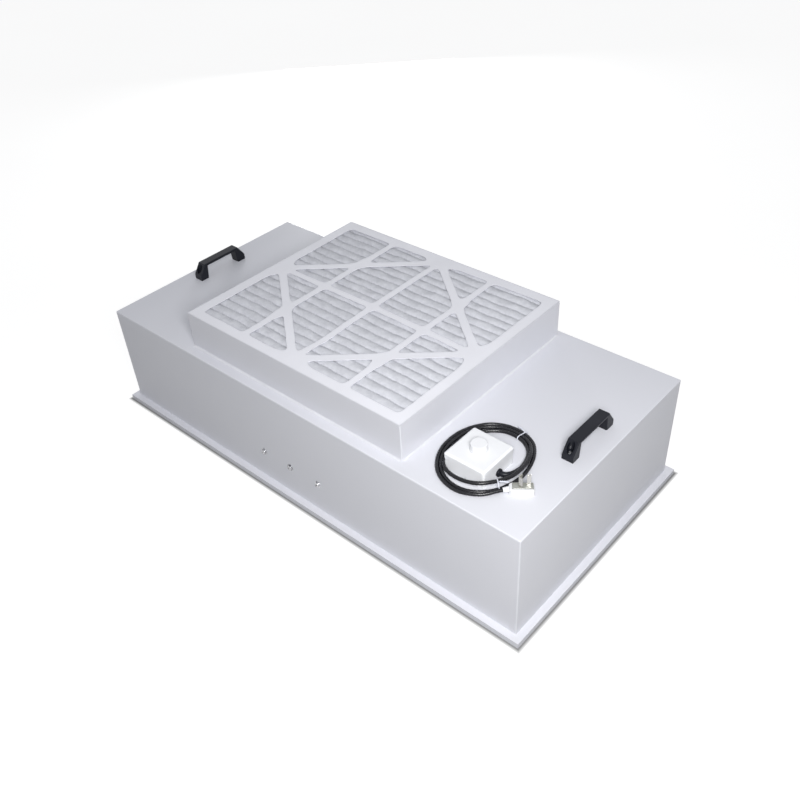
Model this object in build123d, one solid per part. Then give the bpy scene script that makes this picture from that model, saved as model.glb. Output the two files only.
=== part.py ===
"""Fan filter unit: a ceiling blower box that pushes room air through a fine filter.

Millimetres, +Z up. The origin is at the middle of the footprint, on the plane of the flange's
underside. X runs along the long side and Y along the short side.
"""
import math
import os

from build123d import *

# ---- Cabinet -------------------------------------------------------------------------------
cabinet_length = 1145.0       # outside of the walls, along X
cabinet_width = 547.0         # outside of the walls, along Y
cabinet_height = 258.0        # flange underside to the top panel's outer face
sheet = 1.2                   # sheet-steel thickness of the cabinet
fold_radius = 2.5             # outside radius of the folds
flange_width = 15.0           # how far the flange stands out of the walls
flange_height = 12.0          # height of its down-turned lip
flange_return = 12.0          # width of the lip's inward return

# ---- Fan place -----------------------------------------------------------------------------
fan_x = -8.0                  # the fan's axis, a little off the cabinet's middle
fan_y = 5.0

# ---- Inlet collar and pre-filter -----------------------------------------------------------
collar_length = 603.0
collar_width = 506.0
collar_height = 85.0
collar_sheet = 1.2
collar_foot = 16.0            # inward foot flange that is riveted to the top panel
collar_rivet_count_x = 5      # rivets along each long foot
collar_rivet_count_y = 4      # rivets along each short foot
sealant_leg = 3.0             # bead of sealant round the collar's foot
ledge_width = 18.0            # angle strips that carry the pre-filter
ledge_leg = 14.0
prefilter_depth = 21.0
prefilter_gap = 0.8           # pre-filter to collar, all round
card_thickness = 1.2
card_border = 22.5            # rim of the card's face
card_bar = 15.5               # straight bars of the card's face
card_brace = 19.0             # slanting bars of the card's face
card_corner = 10.0            # corner radius of its windows
pleat_count = 21
pleat_height = 16.0
pleat_wall = 2.6
pleat_crest = 0.68            # share of a pitch that the rounded crest takes

# ---- Inlet bell ----------------------------------------------------------------------------
bell_throat_r = 112.0         # air side of the throat
bell_curve = 35.0             # air-side radius of the flare
bell_sheet = 1.2
bell_rim = 18.0               # flat rim outside the flare
bell_drop = 44.0              # rim to the throat's lower end
bell_hole_gap = 2.0           # panel hole outside the flare's start
bell_rivet_count = 8

# ---- Impeller and motor --------------------------------------------------------------------
impeller_r = 177.5
impeller_sheet = 2.0
mouth_gap = 3.0               # bell throat to impeller mouth, radial
mouth_overlap = 4.0           # how far the throat reaches into the mouth
mouth_straight = 7.0
shroud_bend = 22.0            # radius of the shroud's bend
shroud_slope = 14.0           # how much the shroud falls from bend to rim
backplate_z = 129.0           # underside of the impeller's backplate
blade_count = 7
blade_inner_r = 112.0
blade_tip_inset = 2.5         # blade tips inside the impeller's rim
blade_inner_angle = 62.0      # degrees between blade and radius, at its inner end
blade_outer_sweep = 46.0      # degrees that the blade trails at its outer end

can_r = 51.0                  # outer radius of the external rotor
can_wall = 5.0
can_roof = 4.0
can_height = 62.0
can_lift = 12.0               # rotor can above the motor base's underside
can_flange_r = 65.0
can_flange_thickness = 3.0
can_fit = 0.3                 # impeller bore round the rotor can
impeller_screw_count = 6
air_gap = 0.5
stator_height = 30.0
slot_count = 12
slot_depth = 12.0
slot_width = 7.0
winding_height = 9.0
winding_r = 40.0
tube_r = 18.0                 # bearing tube in the stator
bearing_r = 13.0
bearing_width = 8.0
bearing_shoulder = 2.0
shaft_r = 5.0
shaft_fit = 0.05              # shaft in the bearings, radial
motor_base_r = 50.0
motor_base_thickness = 6.0
motor_screw_count = 4
motor_screw_circle = 42.0     # radius of the screw circle

# ---- Motor bridge --------------------------------------------------------------------------
bridge_width = 220.0          # along X
bridge_top_z = 100.0
bridge_sheet = 2.0
bridge_depth = 22.0           # its turned-down edges
bridge_screw_pitch = 82.0
bridge_screw_z = 88.0
wall_screw_r = 3.0
wall_screw_length = 12.0
wall_screw_head_r = 6.0
wall_screw_head = 3.6
washer_r = 8.0                # the screw's captive washer
washer_thickness = 1.2
capacitor_r = 17.5
capacitor_height = 62.0
capacitor_offset = -212.0     # from the fan's axis, along Y
stud_r = 4.0
stud_length = 10.0

# ---- Linings -------------------------------------------------------------------------------
foam_thickness = 12.0
foam_foot_z = 104.0

# ---- Final filter --------------------------------------------------------------------------
filter_gap = 10.5             # cabinet wall to filter frame
filter_bottom_z = 6.0
filter_height = 66.0
filter_wall = 2.0             # web and lips of the frame extrusion
filter_lip = 18.0
gasket_height = 4.0
gasket_width = 14.0
seal_width = 34.0             # horizontal leg of the seal ledge
seal_leg = 16.0
filter_pleat_pitch = 14.0
filter_pleat_depth = 5.0
guard_thickness = 1.2
guard_bar = 6.0
guard_cells_x = 14
guard_cells_y = 7
claw_width = 22.0
claw_thickness = 3.0
claw_reach = 22.0
claw_bolt_r = 2.5
claw_count = 3                # claws along each long side

# ---- Fasteners -----------------------------------------------------------------------------
screw_r = 2.4
screw_head_r = 4.6
screw_head_height = 2.8
rivet_r = 1.6
rivet_head_r = 3.4
rivet_head_height = 1.0
hole_gap = 0.25               # hole round a screw or rivet, radial
nut_height = 5.0

# ---- Handles -------------------------------------------------------------------------------
handle_inset = 47.0           # handle's middle, from the cabinet's end
handle_y = 4.5
handle_length = 137.0
handle_width = 24.0
handle_height = 38.0
handle_bar = 6.5              # thickness of the grip bar
handle_foot = 22.0            # foot's length at its base
handle_foot_taper = 3.5       # how much the foot narrows under the bar
handle_end_height = 14.5      # upright part of the foot's end
handle_end_slope = 16.5       # how far the sloping end runs in
handle_edge = 2.2
handle_screw_inset = 8.5      # screw axis from the handle's end
handle_recess_r = 7.2
handle_seat = 12.0            # material under the screw head
handle_tail = 8.0             # screw length under the top panel

# ---- Control box ---------------------------------------------------------------------------
control_inset_x = 164.5       # box's middle, from the cabinet's +X end
control_inset_y = 104.0       # box's middle, from the cabinet's -Y side
control_size = 88.0           # base, square
control_base_height = 26.0
control_wall = 2.5
control_corner = 4.0
lid_overhang = 1.0
lid_height = 13.0
lid_bevel = 3.6
lid_wall = 2.5
lead_hole_r = 8.0
module_length = 44.0
module_width = 38.0
module_height = 20.0
bush_r = 4.5
bush_height = 7.0
bush_fit = 0.2
bush_nut_r = 7.0
bush_nut_height = 2.2
spindle_r = 3.0
spindle_fit = 0.05
spindle_depth = 12.0          # spindle inside the module
knob_r = 16.5
knob_height = 14.0
knob_taper = 1.0
knob_edge = 1.8
knob_lift = 0.4               # knob above the lid
knob_recess_r = 9.0
knob_recess = 5.5
knob_roof = 4.0
flute_count = 24
flute_r = 0.7

# ---- Mains cord ----------------------------------------------------------------------------
cord_r = 3.6
gland_shift = -1.0            # gland's axis, along Y from the box's middle
gland_lift = 8.7              # gland's axis above the top panel
gland_flange_r = 8.0
gland_flange = 4.0
gland_neck_r = 4.8
gland_nut_r = 6.1
gland_nut = 4.0
boot_bend = 15.0              # radius of the moulded bend in the gland's boot
boot_angle = 70.0
boot_root_r = 5.4
coil_height = 16.0
coil_shift_x = -3.0           # coil's middle from the box's middle
coil_shift_y = 19.5
# outer and inner edge of the coil's solid: angle round its middle, and radius there
coil_outer = {0: 84, 17: 87, 38: 94, 60: 102, 77: 105, 95: 104.5, 118: 98, 141: 90, 173: 83.5,
              212: 86, 245: 95, 273: 101, 290: 103, 299: 101, 305: 95.5, 313: 91.5, 324: 87.5,
              335: 85, 347: 84}
coil_inner = {0: 75.5, 6: 75, 14: 68, 22: 70, 34: 75.5, 46: 79.5, 60: 81.5, 77: 80.5, 99: 78.5,
              117: 69, 144: 64, 171: 59, 198: 61.5, 220: 71, 237: 77.5, 252: 78, 270: 78,
              288: 79.5, 307: 82, 324: 75, 338: 74.5, 348: 74}
tie_spans = {77: (80.5, 105.0), 324: (75.0, 95.6)}   # angle, and the radii each tie runs between
tie_sheet = 1.4
tie_width = 2.4
tie_slack = 0.4
plug_shift_x = 98.6           # plug's middle from the box's middle
plug_shift_y = -8.2
plug_angle = 38.0             # plug's length, turned from +X
plug_length = 44.0
plug_width = 21.0
plug_neck_width = 14.0
plug_height = 13.0
plug_edge = 2.0
plug_corner = 2.5
plug_shoulder = 4.5           # length of the taper from neck to full width
plug_sleeve = 11.0            # strain relief on the plug
sleeve_angle = 52.0           # the sleeve's direction, turned from +X
sleeve_lift = 6.5
insert_length = 37.0          # clear terminal block on the plug, under the pins
insert_width = 15.0
insert_height = 1.8
insert_shift = 0.8            # block's middle line from the plug's
insert_sink = 2.0
insert_fit = 0.1
pin_length = 21.0
earth_extra = 4.0             # how much longer the earth pin is
pin_width = 7.2
pin_thickness = 1.6
pin_sink = 2.8                # pin held in the plug's body
pin_spread = 4.3              # live and neutral pins from the middle line
pin_tilt = 30.0
earth_place = 12.0            # earth pin from the plug's middle
live_place = -2.0

# ---- Worked-out places ---------------------------------------------------------------------
half_length = cabinet_length / 2
half_width = cabinet_width / 2
control_x = half_length - control_inset_x
control_y = control_inset_y - half_width
coil_x = control_x + coil_shift_x
coil_y = control_y + coil_shift_y
plug_x = control_x + plug_shift_x
plug_y = control_y + plug_shift_y
panel_top = cabinet_height
panel_under = cabinet_height - sheet
inner_x = half_length - sheet
inner_y = half_width - sheet
collar_top = panel_top + collar_height
prefilter_top = collar_top
prefilter_bottom = prefilter_top - prefilter_depth
card_x = collar_length / 2 - collar_sheet - prefilter_gap
card_y = collar_width / 2 - collar_sheet - prefilter_gap
bell_rim_z = panel_top + bell_sheet
bell_flare_r = bell_throat_r + bell_curve
bell_rim_r = bell_flare_r + bell_rim
mouth_r = bell_throat_r + bell_sheet + mouth_gap
mouth_z = bell_rim_z - bell_drop + mouth_overlap
can_z = bridge_top_z + can_lift
can_flange_z = backplate_z - can_flange_thickness
can_roof_z = can_z + can_height - can_roof
stator_r = can_r - can_wall - air_gap
stator_z = can_z + can_flange_thickness + winding_height
filter_x = inner_x - filter_gap
filter_y = inner_y - filter_gap
filter_top = filter_bottom_z + filter_height
gasket_top = filter_top + gasket_height
lid_under = panel_top + control_base_height + lid_height - lid_wall
lid_top = panel_top + control_base_height + lid_height
gland_z = panel_top + gland_lift
gland_x = control_x + control_size / 2
gland_y = control_y + gland_shift
handle_places = {"left": handle_inset - half_length, "right": half_length - handle_inset}

os.makedirs("parts", exist_ok=True)


# ---- Helpers -------------------------------------------------------------------------------
def block(x0, x1, y0, y1, z0, z1):
    """A box between two corners."""
    size = Box(x1 - x0, y1 - y0, z1 - z0, align=(Align.MIN, Align.MIN, Align.MIN))
    return Pos(x0, y0, z0) * size


def centred(length, width, z0, z1, x=0.0, y=0.0):
    """A box centred on X and Y, between two heights."""
    return block(x - length / 2, x + length / 2, y - width / 2, y + width / 2, z0, z1)


def rod(radius, z0, z1, x=0.0, y=0.0):
    """An upright cylinder between two heights."""
    return Pos(x, y, z0) * Cylinder(radius, z1 - z0, align=(Align.CENTER, Align.CENTER, Align.MIN))


def ring(outer, inner, z0, z1, x=0.0, y=0.0):
    """An upright tube between two heights."""
    return rod(outer, z0, z1, x, y) - rod(inner, z0 - 1, z1 + 1, x, y)


def frame(length, width, wall, z0, z1, x=0.0, y=0.0):
    """A rectangular ring of one wall thickness, given its outside size."""
    hole = centred(length - 2 * wall, width - 2 * wall, z0 - 1, z1 + 1, x, y)
    return centred(length, width, z0, z1, x, y) - hole


def spun(points_or_face, x=fan_x, y=fan_y):
    """Revolve a face that is drawn in the XZ plane about the fan's axis."""
    return Pos(x, y, 0) * revolve(points_or_face, Axis.Z)


def pan_screw(z, length, up=True):
    """A pan-head screw whose head sits on height z; its shank runs down, or up."""
    head = rod(screw_head_r, z, z + screw_head_height)
    head = fillet(head.edges().filter_by(GeomType.CIRCLE).group_by(Axis.Z)[-1], 0.9)
    screw = head + rod(screw_r, z - length, z)
    return screw if up else Pos(0, 0, 2 * z) * Rot(180, 0, 0) * screw


def rivet(z, length):
    """A blind rivet whose domed head sits on height z."""
    head = rod(rivet_head_r, z, z + rivet_head_height)
    head = fillet(head.edges().filter_by(GeomType.CIRCLE).group_by(Axis.Z)[-1], 0.6)
    return head + rod(rivet_r, z - length, z)


def spread(count, span):
    """Evenly spaced places from -span/2 to +span/2."""
    return [span * (i / (count - 1) - 0.5) for i in range(count)]


def on_circle(count, radius, start=0.0):
    """Places evenly round the fan's axis."""
    angles = [math.radians(start + 360 * i / count) for i in range(count)]
    return [(fan_x + radius * math.cos(a), fan_y + radius * math.sin(a)) for a in angles]


def group(solids, place=Pos(0, 0, 0)):
    """Separate solids of one node, each moved to its place."""
    return Compound(children=[place * solid for solid in solids])


def save(node, shape):
    export_step(shape, f"parts/{node}.step")


# ---- Fastener places, shared by holes and fasteners ----------------------------------------
rivet_x = collar_length / 2 - collar_sheet - collar_foot / 2
rivet_y = collar_width / 2 - collar_sheet - collar_foot / 2
collar_rivet_places = [(fan_x + x, fan_y + side * rivet_y)
                       for x in spread(collar_rivet_count_x, 2 * rivet_x - 4 * collar_foot)
                       for side in (-1, 1)]
collar_rivet_places += [(fan_x + side * rivet_x, fan_y + y)
                        for y in spread(collar_rivet_count_y, 2 * rivet_y - 4 * collar_foot)
                        for side in (-1, 1)]
bell_rivet_places = on_circle(bell_rivet_count, bell_flare_r + bell_rim * 0.62, 22.5)
bridge_screw_places = [fan_x + bridge_screw_pitch * i for i in (-1, 0, 1)]
handle_screw_places = [(x, handle_y + side * (handle_length / 2 - handle_screw_inset))
                       for x in handle_places.values() for side in (-1, 1)]
control_screw_places = [(control_x + side * control_size * 0.33, control_y + side * control_size * 0.33)
                        for side in (-1, 1)]
claw_places = [(x, side * (inner_y - filter_gap / 2)) for side in (-1, 1)
               for x in spread(claw_count, 0.72 * cabinet_length)]


# ---- Cabinet -------------------------------------------------------------------------------
def make_cabinet():
    """A box folded from sheet and open below; its walls stand on the flange's plate."""
    shell = centred(cabinet_length, cabinet_width, flange_height, panel_top)
    shell = fillet(shell.edges().filter_by(Axis.Z), fold_radius)
    shell = fillet(shell.edges().group_by(Axis.Z)[-1], fold_radius)
    room = centred(2 * inner_x, 2 * inner_y, flange_height - 1, panel_under)
    inner_radius = fold_radius - sheet
    room = fillet(room.edges().filter_by(Axis.Z), inner_radius)
    room = fillet(room.edges().group_by(Axis.Z)[-1], inner_radius)
    body = shell - room
    cut = [rod(bell_flare_r + bell_hole_gap, panel_under - 1, panel_top + 1, fan_x, fan_y)]
    rivet_hole = rivet_r + hole_gap
    screw_hole = screw_r + hole_gap
    for x, y in collar_rivet_places + bell_rivet_places:
        cut.append(rod(rivet_hole, panel_under - 1, panel_top + 1, x, y))
    for x, y in handle_screw_places + control_screw_places:
        cut.append(rod(screw_hole, panel_under - 1, panel_top + 1, x, y))
    cut.append(rod(lead_hole_r, panel_under - 1, panel_top + 1, control_x, control_y))
    for x in bridge_screw_places:
        through = Cylinder(wall_screw_r + hole_gap, cabinet_width + 2, rotation=(90, 0, 0))
        cut.append(Pos(x, 0, bridge_screw_z) * through)
    return body - cut


def make_flange():
    """Four mitred lengths of folded channel, welded under the walls: plate, lip and foot."""
    strips = []
    reach_x = half_length + flange_width
    reach_y = half_width + flange_width
    for turn, run, out in ((0, reach_x, reach_y), (90, reach_y, reach_x),
                           (180, reach_x, reach_y), (270, reach_y, reach_x)):
        depth = flange_width + sheet
        plate = block(-run, run, -out, -out + depth, flange_height - sheet, flange_height)
        lip = block(-run, run, -out, -out + sheet, 0, flange_height)
        foot = block(-run, run, -out, -out + flange_return, 0, sheet)
        mitre = Polyline((-run, -out), (run, -out), (run - depth, -out + depth),
                         (-run + depth, -out + depth), close=True)
        strip = (plate + lip + foot) & extrude(make_face(mitre), flange_height)
        strips.append(Rot(0, 0, turn) * strip)
    return group(strips)


# ---- Inlet collar --------------------------------------------------------------------------
def make_collar():
    wall = frame(collar_length, collar_width, collar_sheet, panel_top, collar_top, fan_x, fan_y)
    foot = frame(collar_length, collar_width, collar_sheet + collar_foot, panel_top,
                 panel_top + collar_sheet, fan_x, fan_y)
    collar = wall + foot
    corners = collar.edges().filter_by(Axis.Z)
    outer = corners.group_by(Axis.X)[0] + corners.group_by(Axis.X)[-1]
    collar = fillet(outer, fold_radius * 0.8)
    holes = [rod(rivet_r + hole_gap, panel_top - 1, panel_top + collar_sheet + 1, x, y)
             for x, y in collar_rivet_places]
    return collar - holes


def make_sealant():
    """A bead of sealant in the corner between collar and top panel, one length a side."""
    x_out = collar_length / 2
    y_out = collar_width / 2
    corner = fold_radius * 0.8
    beads = []
    profile = Polyline((0, 0), (sealant_leg, 0), (0, sealant_leg), close=True)
    section = make_face(profile)
    for turn, reach, run in ((0, x_out, 2 * (y_out - corner)), (90, y_out, 2 * (x_out - corner)),
                             (180, x_out, 2 * (y_out - corner)), (270, y_out, 2 * (x_out - corner))):
        bead = extrude(Plane.XZ * section, run / 2, both=True)
        beads.append(Pos(fan_x, fan_y, panel_top) * Rot(0, 0, turn) * Pos(reach, 0, 0) * bead)
    return group(beads)


def make_ledge():
    """Four angle strips in the collar; the pre-filter's frame lies on them."""
    x_in = collar_length / 2 - collar_sheet
    y_in = collar_width / 2 - collar_sheet
    top = prefilter_bottom
    strips = []
    for side in (-1, 1):
        wall = sorted((side * y_in, side * (y_in - collar_sheet)))
        shelf = sorted((side * y_in, side * (y_in - ledge_width)))
        strip = block(-x_in, x_in, *wall, top - ledge_leg, top)
        strips.append(strip + block(-x_in, x_in, *shelf, top - collar_sheet, top))
        reach = y_in - ledge_width
        wall = sorted((side * x_in, side * (x_in - collar_sheet)))
        shelf = sorted((side * x_in, side * (x_in - ledge_width)))
        strip = block(*wall, -reach, reach, top - ledge_leg, top)
        strips.append(strip + block(*shelf, -reach, reach, top - collar_sheet, top))
    return group(strips, Pos(fan_x, fan_y, 0))


# ---- Pre-filter ----------------------------------------------------------------------------
def card_windows():
    """The sixteen rounded windows of the card's face: a grid crossed by a diamond of braces."""
    open_x = card_x - card_border
    open_y = card_y - card_border
    pitch = (open_x + card_bar / 2) / 2
    area = Rectangle(2 * open_x, 2 * open_y)
    for i in (-1, 0, 1):
        area -= Pos(i * pitch, 0) * Rectangle(card_bar, 2 * open_y + 2)
    area -= Rectangle(2 * open_x + 2, card_bar)
    brace_length = math.hypot(open_x, open_y)
    brace_angle = math.degrees(math.atan2(open_y, open_x))
    for side_x in (-1, 1):
        for side_y in (-1, 1):
            middle = Pos(side_x * open_x / 2, side_y * open_y / 2)
            tilt = Rot(0, 0, -side_x * side_y * brace_angle)
            area -= middle * tilt * Rectangle(brace_length + 60, card_brace)
    shrunk = [offset(face, -card_corner, kind=Kind.INTERSECTION) for face in area.faces()]
    return [offset(face, card_corner, kind=Kind.ARC) for face in shrunk]


def make_card_frame():
    face = Rectangle(2 * card_x, 2 * card_y) - card_windows()
    top = extrude(Pos(0, 0, prefilter_top - card_thickness) * face, card_thickness)
    rim = frame(2 * card_x, 2 * card_y, card_thickness, prefilter_bottom, prefilter_top)
    back = frame(2 * card_x, 2 * card_y, card_border, prefilter_bottom,
                 prefilter_bottom + card_thickness)
    return Pos(fan_x, fan_y, 0) * (top + rim + back)


def make_media():
    """Pleats with broad rounded crests and narrow valleys; they run along X."""
    half = card_y - card_thickness
    pitch = 2 * half / pleat_count
    low = prefilter_bottom + card_thickness
    flank = pitch * (1 - pleat_crest) / 2
    crown = pitch * 0.12
    upper = []
    for i in range(pleat_count):
        y = -half + i * pitch
        upper += [(y, low + pleat_wall), (y + flank, low + pleat_height - crown),
                  (y + pitch / 2, low + pleat_height), (y + pitch - flank, low + pleat_height - crown)]
    upper.append((half, low + pleat_wall))
    lower = [(y, z - pleat_wall) for y, z in reversed(upper)]
    section = make_face(Plane.YZ * Polyline(*upper, *lower, close=True))
    return Pos(fan_x, fan_y, 0) * extrude(section, card_x - card_thickness, both=True)


# ---- Inlet bell ----------------------------------------------------------------------------
def make_bell():
    """A flat rim, a quarter-round flare and a short straight throat, spun from sheet."""
    low = bell_rim_z - bell_drop
    under = bell_rim_z - bell_sheet
    centre = (bell_flare_r, bell_rim_z - bell_curve)
    inside = bell_curve - bell_sheet
    rim_out = Line((bell_rim_r, bell_rim_z), (bell_flare_r, bell_rim_z))
    flare_air = CenterArc(centre, bell_curve, 90, 90)
    throat_air = Line((bell_throat_r, centre[1]), (bell_throat_r, low))
    end = Line((bell_throat_r, low), (bell_throat_r + bell_sheet, low))
    throat_back = Line((bell_throat_r + bell_sheet, low), (bell_throat_r + bell_sheet, centre[1]))
    flare_back = CenterArc(centre, inside, 90, 90)
    rim_under = Line((bell_flare_r, under), (bell_rim_r, under))
    rim_edge = Line((bell_rim_r, under), (bell_rim_r, bell_rim_z))
    outline = [rim_out, flare_air, throat_air, end, throat_back, flare_back, rim_under, rim_edge]
    bell = spun(Plane.XZ * make_face(outline))
    holes = [rod(rivet_r + hole_gap, under - 1, bell_rim_z + 1, x, y) for x, y in bell_rivet_places]
    return bell - holes


# ---- Impeller ------------------------------------------------------------------------------
def shroud_outline(offset):
    """Mouth, bend and rim of the shroud's inside, moved outwards by an offset."""
    bend_z = mouth_z - mouth_straight
    corner = (mouth_r + offset, bend_z - shroud_bend * 0.62 + offset * 0.75)
    rim = (impeller_r, corner[1] - shroud_slope)
    return FilletPolyline((mouth_r + offset, mouth_z), corner, rim, radius=shroud_bend - offset)


def make_impeller():
    """Backplate, curved shroud and blades that lean back against the turning."""
    inside = shroud_outline(0.0)
    outside = shroud_outline(impeller_sheet)
    shroud_face = make_face([inside, Line(inside @ 1, outside @ 1), outside,
                             Line(outside @ 0, inside @ 0)])
    shroud = revolve(Plane.XZ * shroud_face, Axis.Z)
    floor = backplate_z + impeller_sheet
    backplate = rod(impeller_r, backplate_z, floor)
    middle = shroud_outline(impeller_sheet / 2)
    under_shroud = make_face([middle, Line(middle @ 1, (impeller_r, backplate_z + 1)),
                              Line((impeller_r, backplate_z + 1), (0, backplate_z + 1)),
                              Line((0, backplate_z + 1), (0, mouth_z)),
                              Line((0, mouth_z), middle @ 0)])
    room = revolve(Plane.XZ * under_shroud, Axis.Z)
    lean = math.radians(blade_outer_sweep)
    start = (blade_inner_r, 0)
    tip_r = impeller_r - blade_tip_inset
    finish = (tip_r * math.cos(lean), -tip_r * math.sin(lean))
    heading = math.radians(-blade_inner_angle)
    path = TangentArc(start, finish, tangent=(math.cos(heading), math.sin(heading)))
    blade_face = trace(path, line_width=impeller_sheet)
    blade = extrude(Pos(0, 0, backplate_z + impeller_sheet / 2) * blade_face,
                    mouth_z - backplate_z)
    blade = blade & room
    blade -= rod(mouth_r + impeller_sheet / 2, mouth_z - mouth_straight - 6, mouth_z + 1)
    body = shroud + backplate
    for i in range(blade_count):
        body += Rot(0, 0, 360 * i / blade_count) * blade
    body -= rod(can_r + can_fit, backplate_z - 1, floor + 1)
    body = Pos(fan_x, fan_y, 0) * body
    holes = [rod(screw_r + hole_gap, backplate_z - 1, floor + 1, x, y)
             for x, y in impeller_screw_places()]
    return body - holes


def impeller_screw_places():
    return on_circle(impeller_screw_count, (can_r + can_flange_r) / 2)


# ---- Motor ---------------------------------------------------------------------------------
def make_rotor_can():
    can = ring(can_r, can_r - can_wall, can_z, can_roof_z) + rod(can_r, can_roof_z, can_roof_z + can_roof)
    can = fillet(can.edges().filter_by(GeomType.CIRCLE).group_by(Axis.Z)[-1], 3.0)
    can += ring(can_flange_r, can_r - 1, can_flange_z, backplate_z)
    can -= rod(shaft_r, can_roof_z - 1, can_roof_z + can_roof + 1)
    can = Pos(fan_x, fan_y, 0) * can
    holes = [rod(screw_r + hole_gap, can_flange_z - 1, backplate_z + 1, x, y)
             for x, y in impeller_screw_places()]
    return can - holes


def make_stator_core():
    core = ring(stator_r, tube_r, stator_z, stator_z + stator_height)
    slot = centred(slot_depth, slot_width, stator_z - 1, stator_z + stator_height + 1,
                   stator_r - slot_depth / 2 - 3)
    mouth = centred(8, 2.4, stator_z - 1, stator_z + stator_height + 1, stator_r)
    for i in range(slot_count):
        core -= Rot(0, 0, 360 * i / slot_count) * (slot + mouth)
    return Pos(fan_x, fan_y, 0) * core


def make_windings():
    """The two rings of end turns, above and below the stator core."""
    inner = winding_r - slot_depth
    above = ring(winding_r, inner, stator_z + stator_height, stator_z + stator_height + winding_height)
    below = ring(winding_r, inner, stator_z - winding_height, stator_z)
    rings = []
    for turns in (above, below):
        rings.append(fillet(turns.edges().filter_by(GeomType.CIRCLE), 3.0))
    return group(rings, Pos(fan_x, fan_y, 0))


tube_top = stator_z + stator_height + winding_height + 2
bearing_places = (bridge_top_z + motor_base_thickness, tube_top - bearing_width)


def make_motor_base():
    low = bridge_top_z
    base = rod(motor_base_r, low, low + motor_base_thickness)
    base = fillet(base.edges().filter_by(GeomType.CIRCLE).group_by(Axis.Z)[-1], 1.5)
    base += rod(tube_r, low, tube_top)
    base -= rod(bearing_r - bearing_shoulder, low - 1, tube_top + 1)
    for z in bearing_places:
        base -= rod(bearing_r, z, z + bearing_width)
    base -= rod(bearing_r, tube_top - bearing_width, tube_top + 1)
    base = Pos(fan_x, fan_y, 0) * base
    holes = [rod(screw_r + hole_gap, low - 1, low + motor_base_thickness + 1, x, y)
             for x, y in on_circle(motor_screw_count, motor_screw_circle, 45)]
    return base - holes


def make_bearings():
    rings = [ring(bearing_r, shaft_r + shaft_fit, z, z + bearing_width, fan_x, fan_y)
             for z in bearing_places]
    return group(rings)


def make_shaft():
    return rod(shaft_r, bearing_places[0] + 1, can_roof_z + can_roof, fan_x, fan_y)


# ---- Motor bridge --------------------------------------------------------------------------
def make_bridge():
    """A plate with turned-down edges that spans the cabinet and is screwed to both long walls."""
    low = bridge_top_z - bridge_depth
    web = centred(bridge_width, 2 * inner_y, bridge_top_z - bridge_sheet, bridge_top_z, fan_x)
    skirt = centred(bridge_width, 2 * inner_y, low, bridge_top_z, fan_x)
    room = centred(bridge_width - 2 * bridge_sheet, 2 * inner_y - 2 * bridge_sheet,
                   low - 1, bridge_top_z - bridge_sheet, fan_x)
    bridge = web + (skirt - room)
    cut = [rod(screw_r + hole_gap, low, bridge_top_z + 1, x, y)
           for x, y in on_circle(motor_screw_count, motor_screw_circle, 45)]
    cut.append(rod(bearing_r, low, bridge_top_z + 1, fan_x, fan_y))
    cut.append(rod(stud_r + hole_gap, low, bridge_top_z + 1, fan_x, fan_y + capacitor_offset))
    for x in bridge_screw_places:
        through = Cylinder(wall_screw_r + hole_gap, cabinet_width + 2, rotation=(90, 0, 0))
        cut.append(Pos(x, 0, bridge_screw_z) * through)
    return bridge - cut


def make_bridge_screws():
    """Three screws with captive washers through each long wall into the bridge's ends."""
    head = rod(wall_screw_head_r, washer_thickness, washer_thickness + wall_screw_head)
    head = fillet(head.edges().filter_by(GeomType.CIRCLE).group_by(Axis.Z)[-1], wall_screw_head / 2)
    drive = centred(wall_screw_head_r, 1.4, washer_thickness + wall_screw_head / 2, 10)
    head = head - drive - Rot(0, 0, 90) * drive
    screw = head + rod(washer_r, 0, washer_thickness) + rod(wall_screw_r, -wall_screw_length, 0)
    screws = []
    for x in bridge_screw_places:
        screws.append(Pos(x, -half_width, bridge_screw_z) * Rot(90, 0, 0) * screw)
        screws.append(Pos(x, half_width, bridge_screw_z) * Rot(-90, 0, 0) * screw)
    return group(screws)


def make_capacitor():
    x, y = fan_x, fan_y + capacitor_offset
    can = rod(capacitor_r, bridge_top_z, bridge_top_z + capacitor_height, x, y)
    can = fillet(can.edges().filter_by(GeomType.CIRCLE).group_by(Axis.Z)[-1], 2.0)
    stud = rod(stud_r, bridge_top_z - bridge_sheet - stud_length, bridge_top_z, x, y)
    tabs = [centred(6.3, 0.8, bridge_top_z + capacitor_height, bridge_top_z + capacitor_height + 9,
                    x, y + side * 6) for side in (-1, 1)]
    return can + stud + tabs


def hex_nut(radius, height, bore, x, y, z):
    """A hexagon nut, radius to its corners, standing on height z."""
    nut = extrude(RegularPolygon(radius, 6), height) - rod(bore, -1, height + 1)
    return Pos(x, y, z) * nut


# ---- Linings -------------------------------------------------------------------------------
def make_foam():
    """Four flat foam linings, stuck to the walls between bridge and top panel."""
    inset = fold_radius
    long_x = inner_x - inset
    short_y = inner_y - foam_thickness
    high = panel_under - inset
    return {
        "foam_front": block(-long_x, long_x, -inner_y, -inner_y + foam_thickness, foam_foot_z, high),
        "foam_back": block(-long_x, long_x, inner_y - foam_thickness, inner_y, foam_foot_z, high),
        "foam_left": block(-inner_x, -inner_x + foam_thickness, -short_y, short_y, foam_foot_z, high),
        "foam_right": block(inner_x - foam_thickness, inner_x, -short_y, short_y, foam_foot_z, high),
    }


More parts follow.
